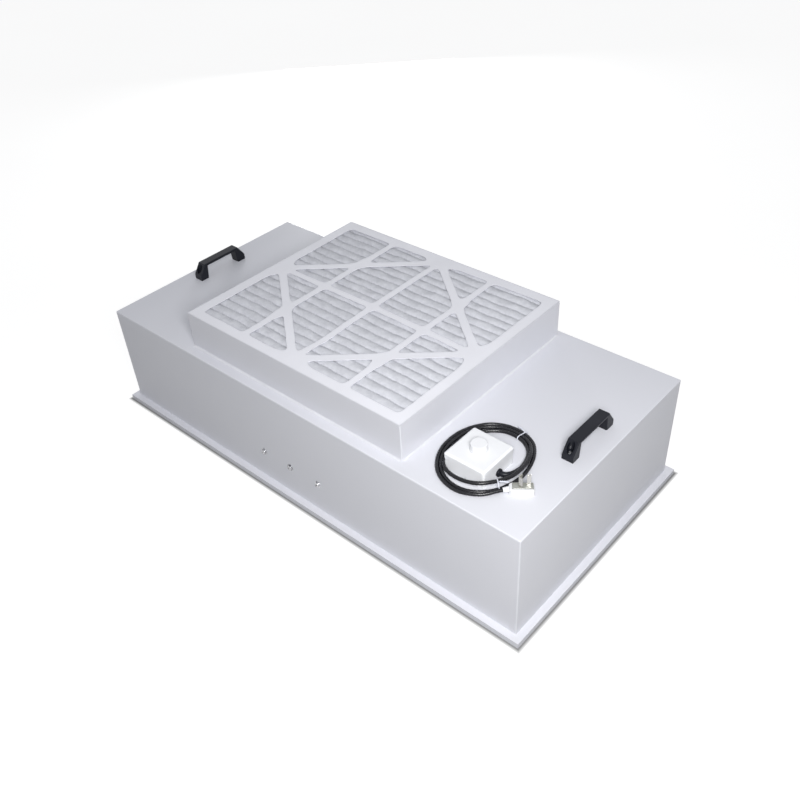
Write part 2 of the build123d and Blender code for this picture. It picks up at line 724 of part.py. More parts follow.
# ---- Final filter --------------------------------------------------------------------------
def make_seal_ledge():
    """Four angle strips welded to the walls; the filter's gasket presses up against them."""
    low = gasket_top
    strips = []
    for side in (-1, 1):
        wall = sorted((side * inner_y, side * (inner_y - sheet)))
        shelf = sorted((side * inner_y, side * (inner_y - seal_width)))
        strip = block(-inner_x + fold_radius, inner_x - fold_radius, *wall, low - seal_leg, low + sheet)
        strips.append(strip + block(-inner_x + fold_radius, inner_x - fold_radius, *shelf, low, low + sheet))
        reach = inner_y - seal_width
        wall = sorted((side * inner_x, side * (inner_x - sheet)))
        shelf = sorted((side * inner_x, side * (inner_x - seal_width)))
        strip = block(*wall, -reach, reach, low - seal_leg, low + sheet)
        strips.append(strip + block(*shelf, -reach, reach, low, low + sheet))
    holes = [rod(claw_bolt_r + hole_gap, low - 1, low + sheet + 1, x, y) for x, y in claw_places]
    return group([strip - holes for strip in strips])


def make_gasket():
    """Four lengths of sponge strip, butted at the corners."""
    strips = []
    for side in (-1, 1):
        across = sorted((side * filter_y, side * (filter_y - gasket_width)))
        strips.append(block(-filter_x, filter_x, *across, filter_top, gasket_top))
        reach = filter_y - gasket_width
        along = sorted((side * filter_x, side * (filter_x - gasket_width)))
        strips.append(block(*along, -reach, reach, filter_top, gasket_top))
    return group(strips)


def make_filter_frame(run, reach):
    """One extrusion of the filter's frame along X at y = -reach, mitred at both ends."""
    low, high = filter_bottom_z, filter_top
    web = block(-run, run, -reach, -reach + filter_wall, low, high)
    foot = block(-run, run, -reach, -reach + filter_lip, low, low + filter_wall)
    head = block(-run, run, -reach, -reach + filter_lip, high - filter_wall, high)
    mitre = Polyline((-run, -reach), (run, -reach), (run - filter_lip, -reach + filter_lip),
                     (-run + filter_lip, -reach + filter_lip), close=True)
    keep = extrude(Pos(0, 0, low) * make_face(mitre), high - low)
    return (web + foot + head) & keep


def make_filter_media():
    """The pleated pack: a slab with a row of V-folds on both faces, running along Y."""
    reach_x = filter_x - filter_wall
    reach_y = filter_y - filter_wall
    low = filter_bottom_z + filter_wall + guard_thickness
    high = filter_top - filter_wall
    flat = filter_lip
    folds = round((2 * reach_x - 2 * flat) / filter_pleat_pitch)
    pitch = (2 * reach_x - 2 * flat) / folds
    below, above = [(-reach_x, low)], [(-reach_x, high)]
    for i in range(folds):
        x = -reach_x + flat + i * pitch
        below += [(x, low), (x + pitch / 2, low + filter_pleat_depth)]
        above += [(x, high), (x + pitch / 2, high - filter_pleat_depth)]
    below += [(reach_x - flat, low), (reach_x, low)]
    above += [(reach_x - flat, high), (reach_x, high)]
    outline = Polyline(*below, *reversed(above), close=True)
    section = make_face(Plane.XZ * outline)
    return extrude(section, reach_y, both=True)


def make_guard():
    """A flat grille under the pleats, held by the frame's lower lips."""
    low = filter_bottom_z + filter_wall
    length = 2 * (filter_x - filter_wall)
    width = 2 * (filter_y - filter_wall)
    open_x = length - 2 * filter_lip
    open_y = width - 2 * filter_lip
    cell_x = (open_x + guard_bar) / guard_cells_x
    cell_y = (open_y + guard_bar) / guard_cells_y
    plate = Rectangle(length, width)
    hole = Rectangle(cell_x - guard_bar, cell_y - guard_bar)
    plate -= GridLocations(cell_x, cell_y, guard_cells_x, guard_cells_y) * hole
    return extrude(Pos(0, 0, low) * plate, guard_thickness)


def make_claws():
    """Small cranked plates that hold the filter's frame up."""
    high = filter_bottom_z
    plates = []
    for x, y in claw_places:
        side = math.copysign(1, y)
        span = sorted((side * (inner_y - 1), side * (inner_y - 1 - claw_reach)))
        plate = block(x - claw_width / 2, x + claw_width / 2, *span, high - claw_thickness, high)
        plates.append(plate - rod(claw_bolt_r + hole_gap, high - claw_thickness - 1, high + 1, x, y))
    return group(plates)


def make_claw_bolts():
    low = filter_bottom_z - claw_thickness
    head = 2.4
    bolts = []
    for x, y in claw_places:
        bolt = Pos(x, y, low - head) * extrude(RegularPolygon(4.6, 6), head)
        bolts.append(bolt + rod(claw_bolt_r, low, gasket_top + sheet + 4, x, y))
    return group(bolts)


# ---- Handles -------------------------------------------------------------------------------
def make_handle(x):
    """A moulded bridge handle: sloping ends, thin grip bar, and a screw recess in each end."""
    half = handle_length / 2
    inner = half - handle_foot
    under = handle_height - handle_bar
    side = [(half, 0), (half, handle_end_height), (half - handle_end_slope, handle_height)]
    arch = [(inner - handle_foot_taper, under), (inner, 0)]
    points = side + [(-y, z) for y, z in reversed(side)]
    points += [(-y, z) for y, z in reversed(arch)] + arch
    outline = Polyline(*points, close=True)
    section = make_face(Plane.YZ * outline)
    body = extrude(section, handle_width / 2, both=True)
    long_edges = [edge for edge in body.edges().filter_by(GeomType.LINE)
                  if (edge @ 0.5).Z > handle_end_height / 2 and abs((edge @ 0.5).X) > 1
                  and max(abs((edge @ 0).Y), abs((edge @ 1).Y)) > inner - handle_foot_taper - 0.5]
    body = fillet(long_edges, handle_edge)
    for end in (-1, 1):
        y = end * (half - handle_screw_inset)
        body -= rod(screw_r + hole_gap, -1, handle_height, 0, y)
        body -= rod(handle_recess_r, handle_seat, handle_height + 1, 0, y)
    return Pos(x, handle_y, panel_top) * body


def make_handle_screws():
    length = handle_seat + sheet + handle_tail
    screws = [Pos(x, y, 0) * pan_screw(panel_top + handle_seat, length)
              for x, y in handle_screw_places]
    return group(screws)


# ---- Control box ---------------------------------------------------------------------------
def rounded_block(size, corner, z0, z1):
    box = centred(size, size, z0, z1)
    return fillet(box.edges().filter_by(Axis.Z), corner)


def make_control_base():
    low, high = panel_top, panel_top + control_base_height
    base = rounded_block(control_size, control_corner, low, high)
    base -= rounded_block(control_size - 2 * control_wall, control_corner - control_wall / 2,
                          low + control_wall, high + 1)
    base = Pos(control_x, control_y, 0) * base
    cut = [rod(screw_r + hole_gap, low - 1, low + control_wall + 1, x, y)
           for x, y in control_screw_places]
    cut.append(rod(lead_hole_r, low - 1, low + control_wall + 1, control_x, control_y))
    gland_hole = Cylinder(gland_neck_r + hole_gap, 3 * control_wall, rotation=(0, 90, 0))
    cut.append(Pos(gland_x, gland_y, gland_z) * gland_hole)
    return base - cut


def make_control_lid():
    low = panel_top + control_base_height
    size = control_size + 2 * lid_overhang
    lid = rounded_block(size, control_corner + lid_overhang, low, lid_top)
    lid = chamfer(lid.edges().group_by(Axis.Z)[-1], lid_bevel)
    lid -= rounded_block(control_size - 2 * control_wall, control_corner - control_wall / 2,
                         low - 1, lid_under)
    lid = Pos(control_x, control_y, 0) * lid
    return lid - rod(bush_r + bush_fit, lid_under - 1, lid_top + 1, control_x, control_y)


def make_speed_module():
    """The controller's block, hung under the lid by its threaded bush."""
    body = centred(module_length, module_width, lid_under - module_height, lid_under)
    body = fillet(body.edges().filter_by(Axis.Z), 2.0)
    body += rod(bush_r, lid_under, lid_under + bush_height)
    body -= rod(spindle_r + spindle_fit, lid_under - spindle_depth - 1, lid_under + bush_height + 1)
    return Pos(control_x, control_y, 0) * body


knob_z = lid_top + knob_lift
spindle_top = knob_z + knob_height - knob_roof


def make_spindle():
    return rod(spindle_r, lid_under - spindle_depth, spindle_top, control_x, control_y)


def make_knob():
    """A shallow tapered dial with a fluted skirt, hollow round its nut."""
    knob = Pos(0, 0, knob_z) * Cone(knob_r, knob_r - knob_taper, knob_height,
                                    align=(Align.CENTER, Align.CENTER, Align.MIN))
    knob = fillet(knob.edges().filter_by(GeomType.CIRCLE).group_by(Axis.Z)[-1], knob_edge)
    for i in range(flute_count):
        flute = rod(flute_r, knob_z + knob_recess, knob_z + knob_height + 1, knob_r)
        knob -= Rot(0, 0, 360 * i / flute_count) * flute
    knob -= rod(knob_recess_r, knob_z - 1, knob_z + knob_recess)
    knob -= rod(spindle_r, knob_z - 1, spindle_top)
    return Pos(control_x, control_y, 0) * knob


# ---- Mains cord ----------------------------------------------------------------------------
boot_start = (gland_x + gland_flange, gland_y)
boot_turn = math.radians(boot_angle)
boot_end = (boot_start[0] + boot_bend * math.sin(boot_turn),
            boot_start[1] + boot_bend * (1 - math.cos(boot_turn)))
boot_heading = (math.cos(boot_turn), math.sin(boot_turn))


def make_gland():
    """Nut, neck and flange in the box's wall, and a boot that bends round towards +Y."""
    turned = Pos(gland_x, gland_y, gland_z) * Rot(0, 90, 0)
    nut = rod(gland_nut_r, -control_wall - gland_nut, -control_wall)
    neck = rod(gland_neck_r, -control_wall, 0)
    collar = rod(gland_flange_r, 0, gland_flange)
    collar = fillet(collar.edges().filter_by(GeomType.CIRCLE).group_by(Axis.Z)[-1], 1.0)
    middle = (boot_start[0], boot_start[1] + boot_bend)
    path = Pos(0, 0, gland_z) * CenterArc(middle, boot_bend, -90, boot_angle)
    root = Plane(origin=path @ 0, z_dir=path % 0) * Circle(boot_root_r)
    tip = Plane(origin=path @ 1, z_dir=path % 1) * Circle(cord_r + 0.6)
    boot = sweep([root, tip], path=path, multisection=True)
    return turned * (nut + neck + collar) + boot


def cord_tube(points):
    """A round tube along straight runs joined by arcs as large as the runs allow."""
    runs = [Vector(*b) - Vector(*a) for a, b in zip(points, points[1:])]
    radii = []
    for before, after in zip(runs, runs[1:]):
        turn = math.radians(before.get_angle(after))
        radii.append(0.45 * min(before.length, after.length) / math.tan(turn / 2))
    path = FilletPolyline(*points, radius=radii)
    tube = sweep(Plane(origin=path @ 0, z_dir=path % 0) * Circle(cord_r), path=path)
    ideal = math.pi * cord_r ** 2 * path.length
    print("cord radii", [round(r, 1) for r in radii], "volume ratio", round(tube.volume / ideal, 4))
    return tube


# from the boot's tip into the coil, and from the coil to the plug's sleeve
lead_points = [(boot_end[0], boot_end[1], gland_z),
               (boot_end[0] + 15 * boot_heading[0], boot_end[1] + 15 * boot_heading[1], gland_z),
               (coil_x + 70.9, coil_y + 18.4, gland_z - 1)]
plug_turn = math.radians(plug_angle)
sleeve_turn = math.radians(sleeve_angle)
sleeve_way = (math.cos(sleeve_turn), math.sin(sleeve_turn))
neck = (plug_x - plug_length / 2 * math.cos(plug_turn), plug_y - plug_length / 2 * math.sin(plug_turn))
sleeve_z = panel_top + sleeve_lift


def back_from_neck(distance):
    return (neck[0] - distance * sleeve_way[0], neck[1] - distance * sleeve_way[1], sleeve_z)


tail_points = [(coil_x + 48.5, coil_y - 84.6, panel_top + 4.2),
               (coil_x + 61.5, coil_y - 72.5, panel_top + 4.8),
               back_from_neck(plug_sleeve + 10), back_from_neck(plug_sleeve)]


def coil_edge(table):
    """A smooth closed line round the coil's middle, through a radius at each listed angle."""
    points = [(coil_x + r * math.cos(math.radians(a)), coil_y + r * math.sin(math.radians(a)))
              for a, r in table.items()]
    return Spline(*points, periodic=True)


def make_coil():
    """The outer shape of the cord's loose turns; the ties pass under it in two slots."""
    face = make_face(coil_edge(coil_outer)) - make_face(coil_edge(coil_inner))
    coil = extrude(Pos(0, 0, panel_top) * face, coil_height)
    for angle, (inner, outer) in tie_spans.items():
        coil -= tie_place(angle) * tie_block(inner - 2, outer + 2, tie_slack, 0, tie_sheet)
    return coil


def tie_place(angle):
    return Pos(coil_x, coil_y, panel_top) * Rot(0, 0, angle)


def tie_block(inner, outer, slack, z0, z1):
    return centred(outer - inner, tie_width + 2 * slack, z0, z1, (inner + outer) / 2)


def make_ties():
    """Two wire ties, each a loop round the coil's section."""
    loops = []
    for angle, (inner, outer) in tie_spans.items():
        near, far = inner - tie_slack, outer + tie_slack
        loop = tie_block(near - tie_sheet, far + tie_sheet, 0, 0, coil_height + tie_slack + tie_sheet)
        loop -= tie_block(near, far, 1, tie_sheet, coil_height + tie_slack)
        loops.append(tie_place(angle) * loop)
    return group(loops)


def plug_place():
    return Pos(plug_x, plug_y, panel_top) * Rot(0, 0, plug_angle)


def make_plug():
    """A rewirable plug that lies on its back, with a sleeve where the cord goes in."""
    half = plug_length / 2
    wide = plug_width / 2
    neck_y = plug_neck_width / 2
    shoulder = plug_shoulder - half
    outline = Polyline((-half, -neck_y), (shoulder, -wide), (half, -wide), (half, wide),
                       (shoulder, wide), (-half, neck_y), close=True)
    plan = make_face(outline)
    plan = fillet(plan.vertices(), plug_corner)
    body = extrude(plan, plug_height)
    body = fillet(body.edges().group_by(Axis.Z)[-1], plug_edge)
    sleeve = Cone(cord_r + 2.2, cord_r + 0.8, plug_sleeve + 4,
                  align=(Align.CENTER, Align.CENTER, Align.MIN))
    lean = sleeve_angle - plug_angle
    root = Pos(-half, 0, sleeve_lift) * Rot(0, 0, lean) * Pos(4, 0, 0) * Rot(0, -90, 0)
    pocket = insert_block(insert_fit, plug_height - insert_sink, plug_height + 1)
    return plug_place() * (body + root * sleeve - pocket)


def insert_block(grow, z0, z1):
    """The terminal block's outline, between two heights over the panel."""
    shift = (plug_length - insert_length) / 2 - 1.5
    return centred(insert_length + grow, insert_width + grow, z0, z1, shift, insert_shift)


def make_insert():
    block_top = plug_height + insert_height
    body = insert_block(-insert_fit, plug_height - insert_sink, block_top)
    body = fillet(body.edges().filter_by(Axis.Z), 3.0)
    body = fillet(body.edges().group_by(Axis.Z)[-1], 1.0)
    return plug_place() * (body - pin_set())


def pin_set():
    """Three flat pins: the longer earth pin along the plug, and two turned to each side of it."""
    low = plug_height + insert_height - pin_sink
    high = plug_height + insert_height + pin_length
    pins = []
    for side in (-1, 1):
        pin = centred(pin_width, pin_thickness, low, high)
        place = Pos(live_place, insert_shift + side * pin_spread, 0)
        pins.append(place * Rot(0, 0, side * pin_tilt) * pin)
    pins.append(centred(pin_width, pin_thickness, low, high + earth_extra, earth_place, insert_shift))
    return pins


# ---- Build and write every node ------------------------------------------------------------
save("cabinet", make_cabinet())
save("ceiling_flange", make_flange())
save("inlet_collar", make_collar())
save("collar_sealant", make_sealant())
save("collar_rivets", group(Pos(x, y, 0) * rivet(panel_top + collar_sheet, collar_sheet + sheet + 3)
                            for x, y in collar_rivet_places))
save("prefilter_ledge", make_ledge())
save("prefilter_frame", make_card_frame())
save("prefilter_media", make_media())

save("inlet_bell", make_bell())
save("bell_rivets", group(Pos(x, y, 0) * rivet(bell_rim_z, bell_sheet + sheet + 3)
                          for x, y in bell_rivet_places))
save("impeller", make_impeller())
save("impeller_screws", group(Pos(x, y, 0) * pan_screw(backplate_z + impeller_sheet, 8)
                              for x, y in impeller_screw_places()))
save("rotor_can", make_rotor_can())
save("rotor_shaft", make_shaft())
save("stator_core", make_stator_core())
save("stator_windings", make_windings())
save("motor_base", make_motor_base())
save("motor_bearings", make_bearings())
save("motor_screws", group(Pos(x, y, 0) * pan_screw(bridge_top_z - bridge_sheet, 12, up=False)
                           for x, y in on_circle(motor_screw_count, motor_screw_circle, 45)))
save("motor_bridge", make_bridge())
save("bridge_screws", make_bridge_screws())
save("run_capacitor", make_capacitor())
save("capacitor_nut", hex_nut(7.5, nut_height, stud_r, fan_x, fan_y + capacitor_offset,
                              bridge_top_z - bridge_sheet - nut_height))
for node, lining in make_foam().items():
    save(node, lining)

save("seal_ledge", make_seal_ledge())
save("filter_gasket", make_gasket())
long_side = make_filter_frame(filter_x, filter_y)
short_side = make_filter_frame(filter_y, filter_x)
save("filter_frame_front", long_side)
save("filter_frame_back", Rot(0, 0, 180) * long_side)
save("filter_frame_left", Rot(0, 0, -90) * short_side)
save("filter_frame_right", Rot(0, 0, 90) * short_side)
save("filter_media", make_filter_media())
save("face_guard", make_guard())
save("filter_claws", make_claws())
save("claw_bolts", make_claw_bolts())

for name, x in handle_places.items():
    save(f"handle_{name}", make_handle(x))
save("handle_screws", make_handle_screws())

save("control_base", make_control_base())
save("control_lid", make_control_lid())
save("control_screws", group(Pos(x, y, 0) * pan_screw(panel_top + control_wall, control_wall + sheet + 6)
                             for x, y in control_screw_places))
save("speed_module", make_speed_module())
save("module_nut", hex_nut(bush_nut_r, bush_nut_height, bush_r, control_x, control_y, lid_top))
save("knob_spindle", make_spindle())
save("speed_knob", make_knob())

save("cord_gland", make_gland())
save("cord_lead", cord_tube(lead_points))
save("cord_coil", make_coil())
save("cord_tail", cord_tube(tail_points))
save("cord_ties", make_ties())
save("plug_body", make_plug())
save("plug_insert", make_insert())
save("plug_pins", group(pin_set(), plug_place()))
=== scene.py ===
"""Looks of the fan filter unit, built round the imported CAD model. Metres, in the model's own frame."""
import math

import bpy
import numpy as np
from mathutils import Matrix, Vector


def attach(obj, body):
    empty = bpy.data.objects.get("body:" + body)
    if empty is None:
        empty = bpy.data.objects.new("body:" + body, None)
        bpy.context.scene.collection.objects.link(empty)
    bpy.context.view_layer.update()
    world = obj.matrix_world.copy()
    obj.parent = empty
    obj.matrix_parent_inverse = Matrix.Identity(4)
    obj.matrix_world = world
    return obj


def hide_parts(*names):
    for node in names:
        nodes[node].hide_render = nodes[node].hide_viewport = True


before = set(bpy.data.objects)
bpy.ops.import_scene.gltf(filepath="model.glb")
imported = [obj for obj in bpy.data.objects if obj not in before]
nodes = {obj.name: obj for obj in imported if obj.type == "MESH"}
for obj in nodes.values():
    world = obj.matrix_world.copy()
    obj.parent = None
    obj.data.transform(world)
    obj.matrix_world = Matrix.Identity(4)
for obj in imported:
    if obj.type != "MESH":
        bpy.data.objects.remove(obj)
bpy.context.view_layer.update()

FLANGE_X, FLANGE_Y = 0.5875, 0.2885         # half lengths of the ceiling flange
PANEL = 0.258                               # height of the cabinet's top face
CONTROL = Vector((0.408, -0.1695, PANEL))   # the speed box's middle
COIL = CONTROL + Vector((-0.003, 0.0195, 0))


# ---- Camera --------------------------------------------------------------------------------
CAMERA_PLACE = (1.10717, -1.09437, 1.34241)
CAMERA_FORWARD = Vector((-0.53910955, 0.56417787, -0.62535129))
CAMERA_UP = Vector((-0.38299549, 0.49706303, 0.77861595))
LENS, SENSOR_WIDTH = 39.52, 36              # both in millimetres
CLIP_END = 50


def make_camera():
    forward, up = CAMERA_FORWARD, CAMERA_UP
    right = forward.cross(up)
    data = bpy.data.cameras.new("camera")
    data.lens = LENS
    data.sensor_width = SENSOR_WIDTH
    data.clip_end = CLIP_END
    camera = bpy.data.objects.new("camera", data)
    bpy.context.scene.collection.objects.link(camera)
    turn = Matrix((right, up, -forward)).transposed().to_4x4()
    camera.matrix_world = Matrix.Translation(CAMERA_PLACE) @ turn
    bpy.context.scene.camera = camera


make_camera()


# ---- Helpers -------------------------------------------------------------------------------
def link(name, data):
    obj = bpy.data.objects.new(name, data)
    bpy.context.scene.collection.objects.link(obj)
    return obj


def mesh_object(name, points, faces, smooth=True):
    mesh = bpy.data.meshes.new(name)
    mesh.from_pydata([tuple(p) for p in points], [], faces)
    mesh.validate()
    if smooth:
        mesh.shade_smooth()
    return link(name, mesh)


def nurbs(name, lines, radius, sides=6):
    """Round curves; each line is its control points and whether it closes.

    Each point carries the tube's radius and the bevel's depth is one, because a curve's bounds
    count the radius of its points.
    """
    data = bpy.data.curves.new(name, "CURVE")
    data.dimensions = "3D"
    data.resolution_u = 6
    data.bevel_depth = 1.0
    data.bevel_resolution = sides
    data.use_fill_caps = True
    for points, closed in lines:
        spline = data.splines.new("NURBS")
        spline.points.add(len(points) - 1)
        for place, point in zip(spline.points, points):
            place.co = (*point, 1)
            place.radius = radius
        spline.use_cyclic_u = closed
        spline.order_u = 3
        spline.use_endpoint_u = not closed
    return link(name, data)


def meshed(curve):
    """Turns a bevelled curve into a mesh piece of the same name."""
    name = curve.name
    depsgraph = bpy.context.evaluated_depsgraph_get()
    mesh = bpy.data.meshes.new_from_object(curve.evaluated_get(depsgraph))
    bpy.data.objects.remove(curve)
    mesh.shade_smooth()
    return link(name, mesh)


# ---- Mains cord ----------------------------------------------------------------------------
def polar(angle, radius, height):
    """A point by its angle and radius round the coil's middle, and its height over the panel."""
    turn = math.radians(angle)
    return (COIL.x + radius * math.cos(turn), COIL.y + radius * math.sin(turn), PANEL + height)


def heading(angle):
    """A level unit vector by its angle in degrees."""
    return Vector((math.cos(math.radians(angle)), math.sin(math.radians(angle)), 0))


CORD_RADIUS = 0.0036
TURN_STEP = 20                              # degrees between a turn's points
BOOT_ANGLE, SLEEVE_ANGLE = 70, 52           # ways the cord leaves the gland's boot and meets the plug
BOOT_RUN = 0.015                            # how far the cord runs straight from the boot
SLEEVE_RUNS = (0.021, 0.009)                # how far before the plug's neck its last two points lie
# radius and height in millimetres of each loose turn; the third one ends early
turns = [
    [(80.5, 5.0), (85.0, 3.8), (84.5, 3.8), (81.5, 3.8), (73.5, 3.8), (68.5, 3.8), (65, 3.8),
     (63, 3.8), (65.5, 3.9), (70.3, 5.0), (79.5, 9.0), (80, 11), (80.5, 12.8), (83, 16.2),
     (77.5, 15.2), (77, 13.8), (76.8, 12.8), (79.8, 12.6)],
    [(85.2, 10.8), (92, 5.8), (92, 3.9), (90, 3.8), (86, 3.8), (79, 3.8), (74.8, 3.8), (72.2, 3.8),
     (74, 3.8), (77.6, 3.8), (84.6, 3.8), (89.8, 3.8), (93.8, 3.8), (92.2, 3.8), (88.2, 3.8),
     (84.5, 3.8), (83.6, 3.8), (85, 3.8)],
    [(91, 3.8), (99.4, 3.8), (100, 3.8), (98, 3.8), (94, 3.8), (86.6, 3.8), (82.4, 3.8), (79.8, 3.8),
     (81.6, 3.8), (85.2, 3.8), (92, 3.8), (97.3, 3.8), (101.2, 3.8)],
]
boot_tip = Vector((0.470095, -0.160630, PANEL + 0.0087))
boot_way = heading(BOOT_ANGLE)
route = [boot_tip, boot_tip + BOOT_RUN * boot_way, (COIL.x + 0.0709, COIL.y + 0.0184, PANEL + 0.0077)]
angle = TURN_STEP
for turn_points in turns:
    for radius, height in turn_points:
        angle += TURN_STEP
        route.append(polar(angle, radius / 1000, height / 1000))
neck = Vector((0.489231, -0.191233, PANEL + 0.0065))
sleeve_way = heading(SLEEVE_ANGLE)
route += [(COIL.x + 0.0485, COIL.y - 0.0846, PANEL + 0.0042),
          (COIL.x + 0.0615, COIL.y - 0.0725, PANEL + 0.0048),
          neck - SLEEVE_RUNS[0] * sleeve_way, neck - SLEEVE_RUNS[1] * sleeve_way]
cord = nurbs("mains_cord", [(route, False)], CORD_RADIUS)
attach(cord, "housing")
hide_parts("cord_lead", "cord_coil", "cord_tail")


TIE_RADIUS = 0.00095
TIE_SIDES = 3
TAIL_START = 5                              # the section's point that a tie's ends leave from
TAIL_STEPS = 17
TWIST_STEP = 0.9                            # radians of twist in a step
TWIST_WIDTH, TWIST_HEIGHT = 0.55, 0.9       # half sizes of the twist, in degrees and millimetres
TAIL_SHIFT, TAIL_LEAN = 2.0, 0.62           # degrees round the coil: at the root, and in each step
TAIL_LIFT = 0.6                             # millimetres over the root
TAIL_OUT, TAIL_DROP = 0.28, 0.012           # millimetres outwards by step, and down by its square


def wire_loop(angle, section):
    """A tie's closed loop: radius and height points of its section, and a twisted pair of ends."""
    loop = [polar(angle, radius / 1000, height / 1000) for radius, height in section]
    root_radius, root_height = section[TAIL_START]
    ends = []
    for phase in (0, math.pi):
        end = []
        for step in range(TAIL_STEPS):
            turn = phase + step * TWIST_STEP
            lean = angle + (TAIL_SHIFT + TAIL_LEAN * step + TWIST_WIDTH * math.cos(turn))
            rise = root_height + TAIL_LIFT + TWIST_HEIGHT * math.sin(turn) - TAIL_DROP * step * step
            end.append(polar(lean, (root_radius + TAIL_OUT * step) / 1000, rise / 1000))
        ends.append((end, False))
    return [(loop, True)] + ends


# radius and height in millimetres round the cords that each tie holds
flat_bundle = [(79.8, 1.2), (79.2, 4), (80.2, 7.2), (84, 8.7), (92, 8.4), (99.5, 8.7), (103.8, 7.4),
               (105, 4), (104.2, 1.2), (92, 0.8)]
high_bundle = [(73.6, 2.2), (72.6, 9), (73.2, 15.5), (75, 18.8), (78.4, 20.0), (82.2, 18), (87.6, 10.6),
               (91.8, 7.2), (93.4, 3.6), (92, 1.0), (83, 0.8)]
tie_lines = wire_loop(77, flat_bundle) + wire_loop(324, high_bundle)
ties = meshed(nurbs("wire_ties", tie_lines, TIE_RADIUS, TIE_SIDES))
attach(ties, "housing")
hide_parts("cord_ties")


# ---- Pre-filter ----------------------------------------------------------------------------
FILTER_X, FILTER_Y = -0.008, 0.005        # the fan's axis, on which the pre-filter is centred
CARD_X, CARD_Y = 0.2995, 0.251            # half lengths of the card
CARD_TOP, CARD_FOOT = 0.343, 0.322
CARD_SHEET = 0.0012
BORDER = 0.0225
SOLID_BAR_HALF = 0.00775                    # half width of the solid's bars, which sets their places
OPEN_X, OPEN_Y = CARD_X - BORDER, CARD_Y - BORDER
BAR_PITCH = (OPEN_X + SOLID_BAR_HALF) / 2
BAR_HALF, BRACE_HALF = 0.007, 0.00875       # half widths of straight and slanting bars
CUT_WAVER = 0.0004                          # how far a die-cut edge strays
WEB_SOFTNESS = 0.0045                       # how roundly bars run into one another
LONG_EDGE_WEB = (0.034, 0.013)              # half sizes of the webs where a bar meets the border
SHORT_EDGE_WEB = (0.012, 0.031)
CROSSING_WEB_HALF = 0.0105
CELLS_X, CELLS_Y = 250, 210                 # cells that the card's face is cut in
CARD_SAG, SAG_REACH = 0.0007, 0.03          # greatest sag, and how far from the rim it is reached
PLEATS, PLEAT_STEPS, PLEAT_COLUMNS = 21, 16, 76
PLEAT_FOOT, PLEAT_CREST = 0.0090, 0.0076    # the pad's height over the back ring, and a crest's over that
PLEAT_WANDER, WANDER_REACH = 0.0013, 0.01   # how far valleys stray, and how near the ends they stop
CRUMPLES = ((0.0009, 0.014, 21), (0.0007, 0.006, 22))     # height, size and seed of each
WAVE_COUNT, WAVE_SCALE = 7, 2.6             # sines in a noise, and what brings their sum to about one
VALLEY_POWER = 0.42                         # under one makes wide crests and narrow valleys
UNDERSIDE_SHARE = 0.54                      # how much of the crests the underside follows


def waves(place, size, seed):
    """Smooth noise between about -1 and 1 at places in metres."""
    total = np.zeros_like(place[0])
    turn = np.random.default_rng(seed)
    for _ in range(WAVE_COUNT):
        way = turn.normal(size=2) / size
        total += np.sin(way[0] * place[0] + way[1] * place[1] + turn.uniform(0, 6.28))
    return total / WAVE_SCALE


def bowed(along, knots):
    """How far a bar strays from straight, eased between knots; all in metres."""
    at, stray = np.array(knots).T / 1000
    i = np.clip(np.searchsorted(at, along) - 1, 0, len(at) - 2)
    share = np.clip((along - at[i]) / (at[i + 1] - at[i]), 0, 1)
    share = share * share * (3 - 2 * share)
    return stray[i] * (1 - share) + stray[i + 1] * share


upright_bows = {-1: [(-230, 0), (0, 1), (230, 0)],
                0: [(-230, 0), (-200, 0.5), (-140, 4), (-60, 1), (0, 0), (120, -1), (230, 0)],
                1: [(-230, 3), (-150, 2), (0, 0), (230, 0)]}
level_bow = [(-280, 1), (-100, 2), (0, 3), (120, 0), (280, -4)]
# webs of card where slanting bars meet an upright one: side in x and y, and reach beyond the crossing
crossing_webs = [(-1, 1, 0.033), (1, 1, 0.026), (-1, -1, 0.037), (1, -1, 0.039)]


def web(x, y, half_x, half_y):
    """Below nought inside an oval of card with these half sizes."""
    return (np.hypot(x / half_x, y / half_y) - 1) * min(half_x, half_y)


def card_field(x, y):
    """Below nought on the card and above it in its windows, with soft webs where bars meet."""
    edge = CUT_WAVER * waves((x, y), 0.011, 5)
    half_bar = BAR_HALF + edge
    parts = [OPEN_X - np.abs(x) - edge, OPEN_Y - np.abs(y) - edge]
    for i, bow in upright_bows.items():
        parts.append(np.abs(x - i * BAR_PITCH - bowed(y, bow)) - half_bar)
    parts.append(np.abs(y - bowed(x, level_bow)) - half_bar)
    span = math.hypot(OPEN_X, OPEN_Y)
    for side_x in (-1, 1):
        for side_y in (-1, 1):
            across = (side_x * x * OPEN_Y + side_y * y * OPEN_X - OPEN_X * OPEN_Y) / span
            parts.append(np.abs(across) - BRACE_HALF - edge)
    for side in (-1, 1):
        parts.append(web(x, y - side * OPEN_Y, *LONG_EDGE_WEB))
        parts.append(web(x - side * OPEN_X, y, *SHORT_EDGE_WEB))
    crossing_y = OPEN_Y * (1 - BAR_PITCH / OPEN_X)
    for side_x, side_y, reach in crossing_webs:
        middle = side_y * (crossing_y + reach / 2)
        parts.append(web(x - side_x * BAR_PITCH, y - middle, CROSSING_WEB_HALF, reach / 2))
    return -WEB_SOFTNESS * np.log(np.sum(np.exp(-np.array(parts) / WEB_SOFTNESS), axis=0))


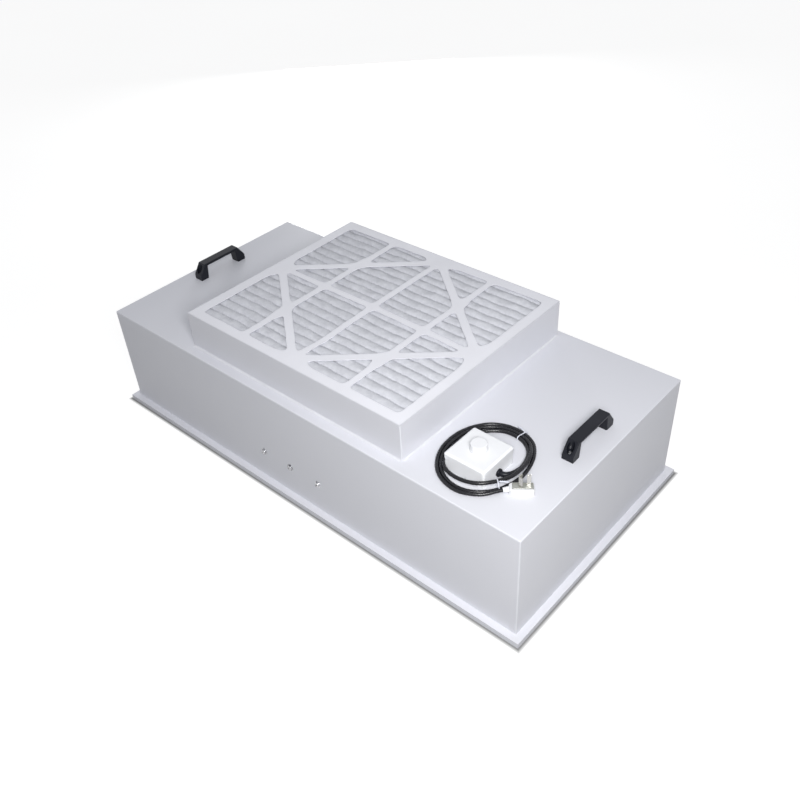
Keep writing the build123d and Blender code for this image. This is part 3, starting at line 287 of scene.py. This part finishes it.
def ring_prism(points, faces, outer, inner, low, high):
    """Adds a rectangular ring with half sizes outer and inner, between two heights."""
    first = len(points)
    for height in (low, high):
        for half_x, half_y in (outer, inner):
            for side_x, side_y in ((-1, -1), (1, -1), (1, 1), (-1, 1)):
                points.append((FILTER_X + side_x * half_x, FILTER_Y + side_y * half_y, height))
    for i in range(4):
        j = (i + 1) % 4
        out_low, in_low, out_high, in_high = first, first + 4, first + 8, first + 12
        faces.append((out_low + i, out_low + j, out_high + j, out_high + i))
        faces.append((in_low + j, in_low + i, in_high + i, in_high + j))
        faces.append((out_high + i, out_high + j, in_high + j, in_high + i))
        faces.append((out_low + j, out_low + i, in_low + i, in_low + j))


def make_card():
    """The die-cut card: its face from the field, cut cell by cell, with a rim and a back ring."""
    across = np.linspace(-CARD_X, CARD_X, CELLS_X + 1)
    along = np.linspace(-CARD_Y, CARD_Y, CELLS_Y + 1)
    x, y = np.meshgrid(across, along, indexing="ij")
    field = card_field(x, y)
    points, faces, known = [], [], {}

    def corner(i, j):
        key = (i, j)
        if key not in known:
            known[key] = len(points)
            points.append((across[i], along[j]))
        return known[key]

    def crossing(i, j, k, m):
        key = (min((i, j), (k, m)), max((i, j), (k, m)))
        if key not in known:
            share = field[i, j] / (field[i, j] - field[k, m])
            known[key] = len(points)
            points.append((across[i] + share * (across[k] - across[i]),
                           along[j] + share * (along[m] - along[j])))
        return known[key]

    for i in range(CELLS_X):
        for j in range(CELLS_Y):
            cell = [(i, j), (i + 1, j), (i + 1, j + 1), (i, j + 1)]
            face = []
            for here, there in zip(cell, cell[1:] + cell[:1]):
                if field[here] < 0:
                    face.append(corner(*here))
                if (field[here] < 0) != (field[there] < 0):
                    face.append(crossing(*here, *there))
            if len(face) > 2:
                faces.append(tuple(face))
    count = len(points)
    flat = np.array(points).T
    inside = np.minimum(CARD_X - np.abs(flat[0]), CARD_Y - np.abs(flat[1]))
    sag = CARD_SAG * (0.5 + 0.5 * waves(flat, 0.03, 11)) * np.clip(inside / SAG_REACH, 0, 1)
    top = [(FILTER_X + px, FILTER_Y + py, CARD_TOP - s) for px, py, s in zip(*flat, np.abs(sag))]
    low = [(px, py, pz - CARD_SHEET) for px, py, pz in top]
    edges = dict.fromkeys(edge for face in faces for edge in zip(face, face[1:] + face[:1]))
    sides = [(b, a, a + count, b + count) for a, b in edges if (b, a) not in edges]
    under = [tuple(v + count for v in reversed(face)) for face in faces]
    solid, shell = top + low, faces + under + sides
    ring_prism(solid, shell, (CARD_X, CARD_Y), (CARD_X - CARD_SHEET, CARD_Y - CARD_SHEET),
               CARD_FOOT, CARD_TOP - CARD_SHEET)
    ring_prism(solid, shell, (CARD_X - CARD_SHEET, CARD_Y - CARD_SHEET), (OPEN_X, OPEN_Y),
               CARD_FOOT, CARD_FOOT + CARD_SHEET)
    return mesh_object("card_frame", solid, shell, smooth=False)


def make_medium():
    """The pleated pad: wide soft crests, narrow valleys that wander, and crumpled fibre."""
    half_x, half_y = CARD_X - CARD_SHEET, CARD_Y - CARD_SHEET
    columns, rows = PLEAT_COLUMNS, PLEATS * PLEAT_STEPS + 1
    x, y = np.meshgrid(np.linspace(-half_x, half_x, columns),
                       np.linspace(-half_y, half_y, rows), indexing="ij")
    edge = np.clip((half_y - np.abs(y)) / WANDER_REACH, 0, 1)
    wander = PLEAT_WANDER * waves((x, y * 3), 0.045, 3) * edge
    phase = (y + wander + half_y) / (2 * half_y) * PLEATS
    valley = np.abs(np.sin(np.pi * phase)) ** VALLEY_POWER
    uneven = sum(height * waves((x, y), size, seed) for height, size, seed in CRUMPLES)
    foot = CARD_FOOT + CARD_SHEET + PLEAT_FOOT
    top = foot + PLEAT_CREST * valley + uneven * valley
    low = CARD_FOOT + CARD_SHEET + UNDERSIDE_SHARE * (top - foot)
    count = columns * rows
    points = [(FILTER_X + px, FILTER_Y + py, pz)
              for level in (top, low) for px, py, pz in zip(x.ravel(), y.ravel(), level.ravel())]
    faces = []
    for i in range(columns - 1):
        for j in range(rows - 1):
            a, b = i * rows + j, (i + 1) * rows + j
            faces.append((a, b, b + 1, a + 1))
            faces.append((a + count + 1, b + count + 1, b + count, a + count))
    edge_loop = (list(range(rows - 1, 0, -1)) + [i * rows for i in range(columns - 1)]
                 + [(columns - 1) * rows + j for j in range(rows - 1)]
                 + [i * rows + rows - 1 for i in range(columns - 1, 0, -1)])
    for a, b in zip(edge_loop, edge_loop[1:] + edge_loop[:1]):
        faces.append((b, a, a + count, b + count))
    return mesh_object("pleated_medium", points, faces)


card_frame = make_card()
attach(card_frame, "housing")
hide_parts("prefilter_frame")
medium = make_medium()
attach(medium, "housing")
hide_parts("prefilter_media")


# ---- Materials -----------------------------------------------------------------------------
def new_material(name):
    material = bpy.data.materials.new(name)
    material.use_nodes = True
    tree = material.node_tree
    tree.nodes.clear()
    out = tree.nodes.new("ShaderNodeOutputMaterial")
    shader = tree.nodes.new("ShaderNodeBsdfPrincipled")
    tree.links.new(shader.outputs[0], out.inputs[0])
    where = tree.nodes.new("ShaderNodeTexCoord")
    return material, tree, shader, where


def noise(tree, where, scale, detail=3.0, stretch=None):
    """A noise texture in object space, stretched along an axis when asked."""
    texture = tree.nodes.new("ShaderNodeTexNoise")
    texture.inputs["Scale"].default_value = scale
    texture.inputs["Detail"].default_value = detail
    source = where.outputs["Object"]
    if stretch:
        mapping = tree.nodes.new("ShaderNodeMapping")
        mapping.inputs["Scale"].default_value = stretch
        tree.links.new(source, mapping.inputs[0])
        source = mapping.outputs[0]
    tree.links.new(source, texture.inputs["Vector"])
    return texture.outputs[0]


def remap(tree, value, low, high, from_low=0.3, from_high=0.7):
    """A range node; its default input range is the one that most of a noise lies in."""
    node = tree.nodes.new("ShaderNodeMapRange")
    node.inputs["From Min"].default_value = from_low
    node.inputs["From Max"].default_value = from_high
    node.inputs["To Min"].default_value = low
    node.inputs["To Max"].default_value = high
    tree.links.new(value, node.inputs["Value"])
    return node.outputs["Result"]


def calculate(tree, operation, first, second=None):
    """A maths node on a link and a link or number."""
    node = tree.nodes.new("ShaderNodeMath")
    node.operation = operation
    for value, socket in zip((first, second), node.inputs):
        if isinstance(value, float):
            socket.default_value = value
        elif value is not None:
            tree.links.new(value, socket)
    return node.outputs[0]


def blend_colours(tree, factor, first, second):
    node = tree.nodes.new("ShaderNodeMix")
    node.data_type = "RGBA"
    node.inputs["A"].default_value = (*first, 1)
    node.inputs["B"].default_value = (*second, 1)
    tree.links.new(factor, node.inputs["Factor"])
    return node.outputs["Result"]


def bump(tree, value, distance, strength, normal):
    """A bump that adds to another normal when there is one."""
    node = tree.nodes.new("ShaderNodeBump")
    node.inputs["Distance"].default_value = distance
    node.inputs["Strength"].default_value = strength
    tree.links.new(value, node.inputs["Height"])
    if normal is not None:
        tree.links.new(normal, node.inputs["Normal"])
    return node.outputs["Normal"]


def bevelled(tree, radius):
    """A normal that softens edges."""
    node = tree.nodes.new("ShaderNodeBevel")
    node.samples = 4
    node.inputs["Radius"].default_value = radius
    return node.outputs["Normal"]


GLOSS_FINENESS = 9                          # how much finer uneven gloss is than the colour's patches
COAT_ROUGHNESS = 0.12


def principled(material):
    return next(node for node in material.node_tree.nodes if node.type == "BSDF_PRINCIPLED")


def surface(name, light, dark, rough, metal=0.0, patch=6.0, grain=700.0, depth=0.00004, edge=0.0,
            specular=0.5, stretch=None, rough_spread=0.06, coat=0.0):
    """A finish with slow colour change, uneven gloss, a fine bump and softened edges."""
    material, tree, shader, where = new_material(name)
    slow = noise(tree, where, patch, 4.0)
    colour = blend_colours(tree, remap(tree, slow, 0, 1), dark, light)
    tree.links.new(colour, shader.inputs["Base Color"])
    middle = noise(tree, where, patch * GLOSS_FINENESS, 3.0, stretch)
    gloss = remap(tree, middle, rough - rough_spread, rough + rough_spread)
    tree.links.new(gloss, shader.inputs["Roughness"])
    fine = noise(tree, where, grain, 2.0, stretch)
    normal = bevelled(tree, edge) if edge else None
    tree.links.new(bump(tree, fine, depth, 1.0, normal), shader.inputs["Normal"])
    shader.inputs["Metallic"].default_value = metal
    shader.inputs["Specular IOR Level"].default_value = specular
    shader.inputs["Coat Weight"].default_value = coat
    shader.inputs["Coat Roughness"].default_value = COAT_ROUGHNESS
    return material


def striped(material, axis, scale, distortion, depth):
    """Adds a band texture to a finish's bump, such as sheet edges or wound wire."""
    tree = material.node_tree
    shader = principled(material)
    where = next(node for node in tree.nodes if node.type == "TEX_COORD")
    bands = tree.nodes.new("ShaderNodeTexWave")
    bands.bands_direction = axis
    bands.inputs["Scale"].default_value = scale
    bands.inputs["Distortion"].default_value = distortion
    tree.links.new(where.outputs["Object"], bands.inputs["Vector"])
    before = shader.inputs["Normal"].links[0].from_socket
    tree.links.new(bump(tree, bands.outputs["Fac"], depth, 0.8, before), shader.inputs["Normal"])
    return material


paint = surface("powder_coat", (0.705, 0.712, 0.758), (0.685, 0.693, 0.742), 0.46, patch=2.2,
                grain=420, depth=0.00003, specular=0.42, rough_spread=0.02)
galvanised = surface("galvanised", (0.56, 0.58, 0.60), (0.42, 0.44, 0.46), 0.42, 0.9, patch=38,
                     grain=500, depth=0.00002)
zinc = surface("bright_zinc", (0.64, 0.64, 0.65), (0.44, 0.44, 0.46), 0.24, 1.0, patch=60, grain=900,
               depth=0.00001, edge=0.0003)
# Painted highlights and shade: the bridge screws' heads get large bright and dark patches of colour that
# stand in for glints and reflections.
zinc_painted_glints = surface("zinc_with_painted_glints", (0.82, 0.82, 0.84), (0.16, 0.16, 0.17), 0.26, 1.0, patch=230,
                     grain=900, depth=0.00002, edge=0.0003)
sealant = surface("sealant", (0.70, 0.705, 0.74), (0.64, 0.645, 0.68), 0.6, patch=20, grain=160,
                  depth=0.0004)
card = surface("coated_card", (0.84, 0.845, 0.90), (0.81, 0.815, 0.865), 0.52, patch=14, grain=900,
               depth=0.00003, specular=0.3)
fibre = surface("filter_fibre", (0.685, 0.695, 0.74), (0.60, 0.61, 0.655), 0.9, patch=110, grain=420,
                depth=0.0010, specular=0.1)
mill = surface("mill_aluminium", (0.78, 0.79, 0.80), (0.62, 0.63, 0.65), 0.34, 1.0, patch=14, grain=300,
               depth=0.00002, stretch=(1, 12, 1))
anodised = surface("anodised", (0.74, 0.75, 0.76), (0.66, 0.67, 0.68), 0.38, 1.0, patch=5, grain=260,
                   depth=0.00002, stretch=(1, 1, 14))
dip_paint = surface("dip_paint", (0.03, 0.03, 0.032), (0.015, 0.015, 0.017), 0.42, patch=12, grain=300,
                    depth=0.00006)
casting = surface("die_casting", (0.55, 0.56, 0.57), (0.42, 0.43, 0.44), 0.48, 0.9, patch=40, grain=900,
                  depth=0.0001)
sheets = striped(surface("lamination", (0.30, 0.30, 0.32), (0.16, 0.15, 0.15), 0.45, 0.9, patch=30),
                 "Z", 320, 0.2, 0.0003)
copper = striped(surface("copper_wire", (0.78, 0.33, 0.14), (0.52, 0.18, 0.07), 0.3, 0.9, patch=60),
                 "Z", 160, 4.0, 0.0006)
ground = surface("ground_steel", (0.76, 0.76, 0.77), (0.60, 0.60, 0.61), 0.16, 1.0, patch=50, grain=600,
                 depth=0.00001)
moulded_can = surface("moulded_can", (0.78, 0.78, 0.75), (0.70, 0.70, 0.67), 0.4, patch=15)
foam = surface("open_foam", (0.10, 0.10, 0.11), (0.04, 0.04, 0.045), 0.95, patch=30, grain=420,
               depth=0.002, specular=0.1)
sponge = surface("sponge", (0.04, 0.04, 0.04), (0.02, 0.02, 0.02), 0.85, patch=30, grain=600, depth=0.0006)
paper = surface("glass_paper", (0.86, 0.86, 0.84), (0.78, 0.78, 0.76), 0.85, patch=12, grain=800,
                depth=0.0002, specular=0.15)
black = surface("black_nylon", (0.012, 0.013, 0.019), (0.006, 0.007, 0.011), 0.34, patch=25, grain=900,
                depth=0.00005, edge=0.0006, specular=0.22)
white = surface("white_plastic", (0.83, 0.84, 0.86), (0.805, 0.815, 0.84), 0.28, patch=9, grain=500,
                depth=0.00001, edge=0.0007, rough_spread=0.004)
plug_white = surface("plug_nylon", (0.76, 0.765, 0.78), (0.70, 0.705, 0.72), 0.5, patch=60, grain=700,
                     depth=0.00003, edge=0.0006, specular=0.35)
jacket = surface("cord_jacket", (0.009, 0.009, 0.012), (0.005, 0.005, 0.007), 0.27, patch=30, grain=800,
                 depth=0.00004, specular=0.4)
tie = surface("tie_plastic", (0.74, 0.76, 0.84), (0.62, 0.64, 0.72), 0.4, patch=60)
nickel = surface("nickel", (0.66, 0.65, 0.61), (0.48, 0.47, 0.43), 0.26, 1.0, patch=60, grain=900,
                 depth=0.00001, edge=0.0003)
clear_grey = surface("clear_grey", (0.60, 0.61, 0.57), (0.42, 0.43, 0.38), 0.2, patch=90, grain=300,
                     depth=0.0002, coat=0.3)
principled(clear_grey).inputs["Transmission Weight"].default_value = 0.45

finish = {
    paint: ["cabinet", "ceiling_flange", "inlet_collar", "face_guard", "seal_ledge"],
    galvanised: ["prefilter_ledge", "inlet_bell", "motor_bridge"],
    zinc: ["collar_rivets", "bell_rivets", "impeller_screws", "motor_screws", "capacitor_nut", "claw_bolts",
           "filter_claws", "handle_screws", "control_screws", "module_nut", "knob_spindle"],
    zinc_painted_glints: ["bridge_screws"],
    sealant: ["collar_sealant"],
    mill: ["impeller"],
    dip_paint: ["rotor_can"],
    ground: ["rotor_shaft", "motor_bearings"],
    sheets: ["stator_core"],
    copper: ["stator_windings"],
    casting: ["motor_base"],
    moulded_can: ["run_capacitor"],
    foam: ["foam_front", "foam_back", "foam_left", "foam_right"],
    sponge: ["filter_gasket"],
    anodised: ["filter_frame_front", "filter_frame_back", "filter_frame_left", "filter_frame_right"],
    paper: ["filter_media"],
    black: ["handle_left", "handle_right", "cord_gland", "speed_module"],
    white: ["control_base", "control_lid", "speed_knob"],
    plug_white: ["plug_body"],
    clear_grey: ["plug_insert"],
    nickel: ["plug_pins"],
}
for material, members in finish.items():
    for member in members:
        slots = nodes[member].data.materials
        slots.clear()
        slots.append(material)
for piece, material in ((cord, jacket), (ties, tie), (card_frame, card), (medium, fibre)):
    piece.data.materials.append(material)


# ---- Floor, light and view -----------------------------------------------------------------
FLOOR_HALF = 9
FLOOR_DARK, FLOOR_LIGHT = (0.22, 0.22, 0.22), (0.24, 0.24, 0.24)
# Painted shadow: within these distances of the flange the floor is kept from the lift to white, so a dark
# contact line is painted round the object.
PAINTED_SHADOW_NEAR, PAINTED_SHADOW_FAR = 0.0025, 0.0095      # beyond the flange: where the lift starts, and where it is full
PAINTED_SHADOW_LIFT, LIFT_FAR = 0.02, 0.86            # the lift at those two places
SKY_LOW, SKY_HIGH = 0.21, 0.37              # strength of the light at the horizon and overhead
SKY_TOP = 0.9                               # upward share of a ray at which the sky is at its strongest
SKY_SHOWN = 0.92                            # strength that the camera sees


def seen_rays(tree):
    """One for rays that show the background itself, and nought for the light that it gives."""
    path = tree.nodes.new("ShaderNodeLightPath")
    seen = path.outputs["Is Camera Ray"]
    for ray in ("Is Glossy Ray", "Is Transmission Ray"):
        seen = calculate(tree, "MAXIMUM", seen, path.outputs[ray])
    return seen


def make_floor():
    """A pale floor; what the camera sees of it is lifted towards white away from the object, leaving a thin
    painted contact shadow round the flange.
    """
    corners = [(-FLOOR_HALF, -FLOOR_HALF, 0), (FLOOR_HALF, -FLOOR_HALF, 0),
               (FLOOR_HALF, FLOOR_HALF, 0), (-FLOOR_HALF, FLOOR_HALF, 0)]
    floor = mesh_object("floor", corners, [(0, 1, 2, 3)])
    material, tree, shader, where = new_material("floor_white_painted_shadow")
    colour = blend_colours(tree, remap(tree, noise(tree, where, 1.5), 0, 1), FLOOR_DARK, FLOOR_LIGHT)
    tree.links.new(colour, shader.inputs["Base Color"])
    shader.inputs["Roughness"].default_value = 0.9
    shader.inputs["Specular IOR Level"].default_value = 0.1
    parts = tree.nodes.new("ShaderNodeSeparateXYZ")
    tree.links.new(where.outputs["Object"], parts.inputs[0])
    away_x = calculate(tree, "SUBTRACT", calculate(tree, "ABSOLUTE", parts.outputs["X"]), FLANGE_X)
    away_y = calculate(tree, "SUBTRACT", calculate(tree, "ABSOLUTE", parts.outputs["Y"]), FLANGE_Y)
    away = calculate(tree, "MAXIMUM", away_x, away_y)
    # Painted shadow: the lift stays low in a thin band round the flange, so the floor shows dark there.
    lift = remap(tree, away, PAINTED_SHADOW_LIFT, LIFT_FAR, PAINTED_SHADOW_NEAR, PAINTED_SHADOW_FAR)
    shader.inputs["Emission Color"].default_value = (1, 1, 1, 1)
    tree.links.new(calculate(tree, "MULTIPLY", lift, seen_rays(tree)), shader.inputs["Emission Strength"])
    floor.data.materials.append(material)


def area_light(name, place, target, size, power, colour):
    data = bpy.data.lights.new(name, "AREA")
    data.size = size
    data.energy = power
    data.color = colour
    light = link(name, data)
    light.location = place
    light.rotation_euler = (Vector(target) - Vector(place)).to_track_quat("-Z", "Y").to_euler()


def make_light():
    area_light("key", (1.22, -1.04, 1.40), (0.1, -0.05, 0.2), 0.6, 32.5, (1, 0.997, 0.995))
    area_light("back", (-1.8, 1.9, 0.34), (0, 0, 0.10), 0.8, 36, (0.985, 0.99, 1))
    world = bpy.data.worlds.new("studio")
    bpy.context.scene.world = world
    world.use_nodes = True
    tree = world.node_tree
    tree.nodes.clear()
    out = tree.nodes.new("ShaderNodeOutputWorld")
    back = tree.nodes.new("ShaderNodeBackground")
    back.inputs["Color"].default_value = (0.95, 0.965, 1.0, 1)
    where = tree.nodes.new("ShaderNodeTexCoord")
    parts = tree.nodes.new("ShaderNodeSeparateXYZ")
    tree.links.new(where.outputs["Generated"], parts.inputs[0])
    given = remap(tree, parts.outputs["Z"], SKY_LOW, SKY_HIGH, 0.0, SKY_TOP)
    shown = calculate(tree, "MULTIPLY", seen_rays(tree), SKY_SHOWN)
    tree.links.new(calculate(tree, "MAXIMUM", given, shown), back.inputs["Strength"])
    tree.links.new(back.outputs[0], out.inputs[0])
    bpy.context.scene.view_settings.view_transform = "Standard"


make_floor()
make_light()
